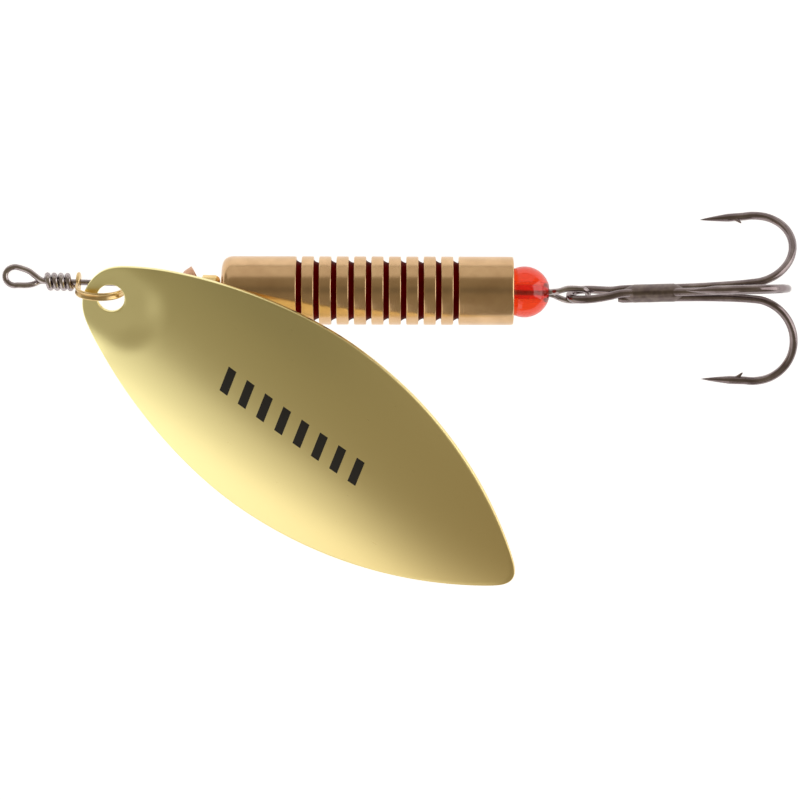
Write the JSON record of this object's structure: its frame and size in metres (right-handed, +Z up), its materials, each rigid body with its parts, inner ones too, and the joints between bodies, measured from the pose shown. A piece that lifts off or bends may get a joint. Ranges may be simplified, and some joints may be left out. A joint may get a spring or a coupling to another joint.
{
  "type": "inline spinner",
  "caption": "Inline spinner fishing lure: a long leaf blade on a clevis, a grooved brass body, beads and a treble hook, all on one steel shaft wire with a line-tie eye.",
  "frame": {"origin": "The point of the shaft's axis that lies inside the line-tie eye", "axes": "+X runs along the shaft from the line-tie eye to the hook, +Z is up with the lure lying on its side on the plane z = -4 mm, and the blade's long side points towards -Y"},
  "size_m": [0.0928, 0.0448, 0.0191],
  "materials": {
    "steel_wire": "drawn stainless wire, darkened",
    "clevis_brass": "bright pressed brass",
    "blade_gold": "polished pale gold plate",
    "copper": "dull copper",
    "bead_brass": "polished brass",
    "body_brass": "fine turned brass",
    "red_lacquer": "dark red lacquer",
    "red_plastic": "translucent red, glossy",
    "hook_steel": "bronzed hook wire",
    "braze": "dull brazing metal"
  },
  "bodies": {
    "shaft": {"shaft_wire": "steel_wire"},
    "clevis": {"clevis": "clevis_brass"},
    "blade": {"blade": "blade_gold"},
    "cup": {"copper_cup": "copper"},
    "front_bead": {"front_brass_bead": "bead_brass"},
    "body": {"body_barrel": "body_brass", "groove_lacquer_1": "red_lacquer", "groove_lacquer_2": "red_lacquer", "groove_lacquer_3": "red_lacquer", "groove_lacquer_4": "red_lacquer", "groove_lacquer_5": "red_lacquer", "groove_lacquer_6": "red_lacquer", "groove_lacquer_7": "red_lacquer", "groove_lacquer_8": "red_lacquer", "groove_lacquer_9": "red_lacquer", "groove_lacquer_10": "red_lacquer"},
    "rear_bead": {"red_bead": "red_plastic"},
    "treble": {"treble_double_hook": "hook_steel", "treble_single_hook": "hook_steel", "treble_braze": "braze"}
  },
  "joints": [
    {"name": "clevis_spin", "type": "hinge", "parent": "shaft", "child": "clevis", "pos_m": [0, 0, 0], "axis": [1, 0, 0], "continuous": true},
    {"name": "blade_swing", "type": "hinge", "parent": "clevis", "child": "blade", "pos_m": [0.01125, -0.00169, 0.0035], "axis": [-0.0947, -0.3077, 0.9468], "range_deg": [-10, 70]},
    {"name": "cup_spin", "type": "hinge", "parent": "shaft", "child": "cup", "pos_m": [0, 0, 0], "axis": [1, 0, 0], "continuous": true},
    {"name": "front_bead_spin", "type": "hinge", "parent": "shaft", "child": "front_bead", "pos_m": [0, 0, 0], "axis": [1, 0, 0], "continuous": true},
    {"name": "body_spin", "type": "hinge", "parent": "shaft", "child": "body", "pos_m": [0.02375, -0.00052, 0], "axis": [0.9997, 0.0229, 0], "continuous": true},
    {"name": "rear_bead_spin", "type": "hinge", "parent": "shaft", "child": "rear_bead", "pos_m": [0.0591, 0.00017, 0], "axis": [1, 0, 0], "continuous": true},
    {"name": "treble_swing", "type": "hinge", "parent": "shaft", "child": "treble", "pos_m": [0.06653, 0, 0], "axis": [-0.1238, 0.8863, 0.4462], "range_deg": [-60, 60]}
  ]
}
